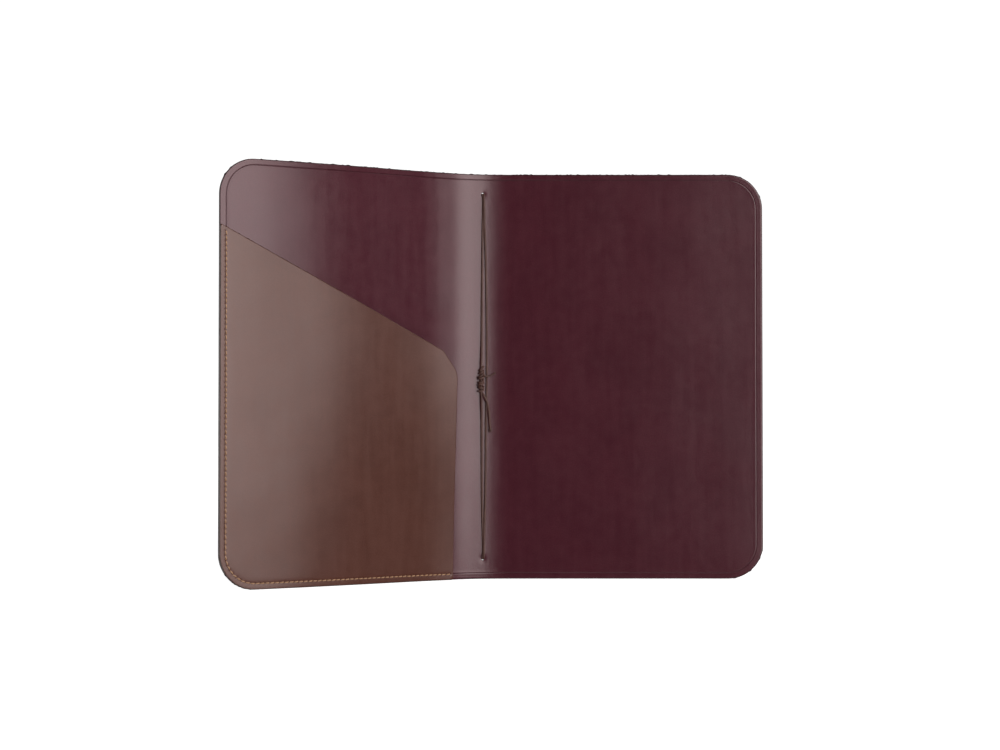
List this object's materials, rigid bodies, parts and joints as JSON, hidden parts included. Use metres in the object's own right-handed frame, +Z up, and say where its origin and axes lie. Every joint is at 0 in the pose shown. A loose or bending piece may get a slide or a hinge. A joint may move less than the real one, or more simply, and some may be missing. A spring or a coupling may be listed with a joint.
{
  "type": "passport holder wallet",
  "caption": "Folding leather passport cover with rounded corners, a slanted pocket sewn inside its front panel and a knotted cord along the spine.",
  "frame": {"origin": "centre of the open wallet's box in plan, on the surface that its bottom edge stands on", "axes": "+Z up the spine, +X from the front panel towards the back panel, +Y out of the back panel's outer face, so the inside looks along -Y"},
  "size_m": [0.1824, 0.049, 0.14],
  "materials": {
    "cover_leather": "satin burgundy waxed leather, fine grain, creased line round the edge",
    "pocket_leather": "satin brown waxed leather, fine grain",
    "thread": "tan waxed thread",
    "cord": "dark brown waxed cord"
  },
  "bodies": {
    "back_panel": {"cover_back_panel": "cover_leather"},
    "spine": {"cover_spine": "cover_leather", "cord_right_strand": "cord", "cord_left_strand_upper": "cord", "cord_left_strand_lower": "cord", "cord_outer_strand_left": "cord", "cord_outer_strand_right": "cord", "cord_knot": "cord", "cord_short_tail": "cord", "cord_long_tail": "cord"},
    "front_panel": {"cover_front_panel": "cover_leather", "pocket": "pocket_leather", "pocket_thread_inside": "thread", "pocket_thread_outside": "thread"}
  },
  "joints": [
    {"name": "back_fold", "type": "hinge", "parent": "back_panel", "child": "spine", "pos_m": [-0.00228, 0.02107, 0.07], "axis": [0, 0, 1], "range_deg": [-10, 75]},
    {"name": "front_fold", "type": "hinge", "parent": "spine", "child": "front_panel", "pos_m": [-0.00885, 0.02027, 0.07], "axis": [0, 0, 1], "range_deg": [-20, 75]}
  ]
}
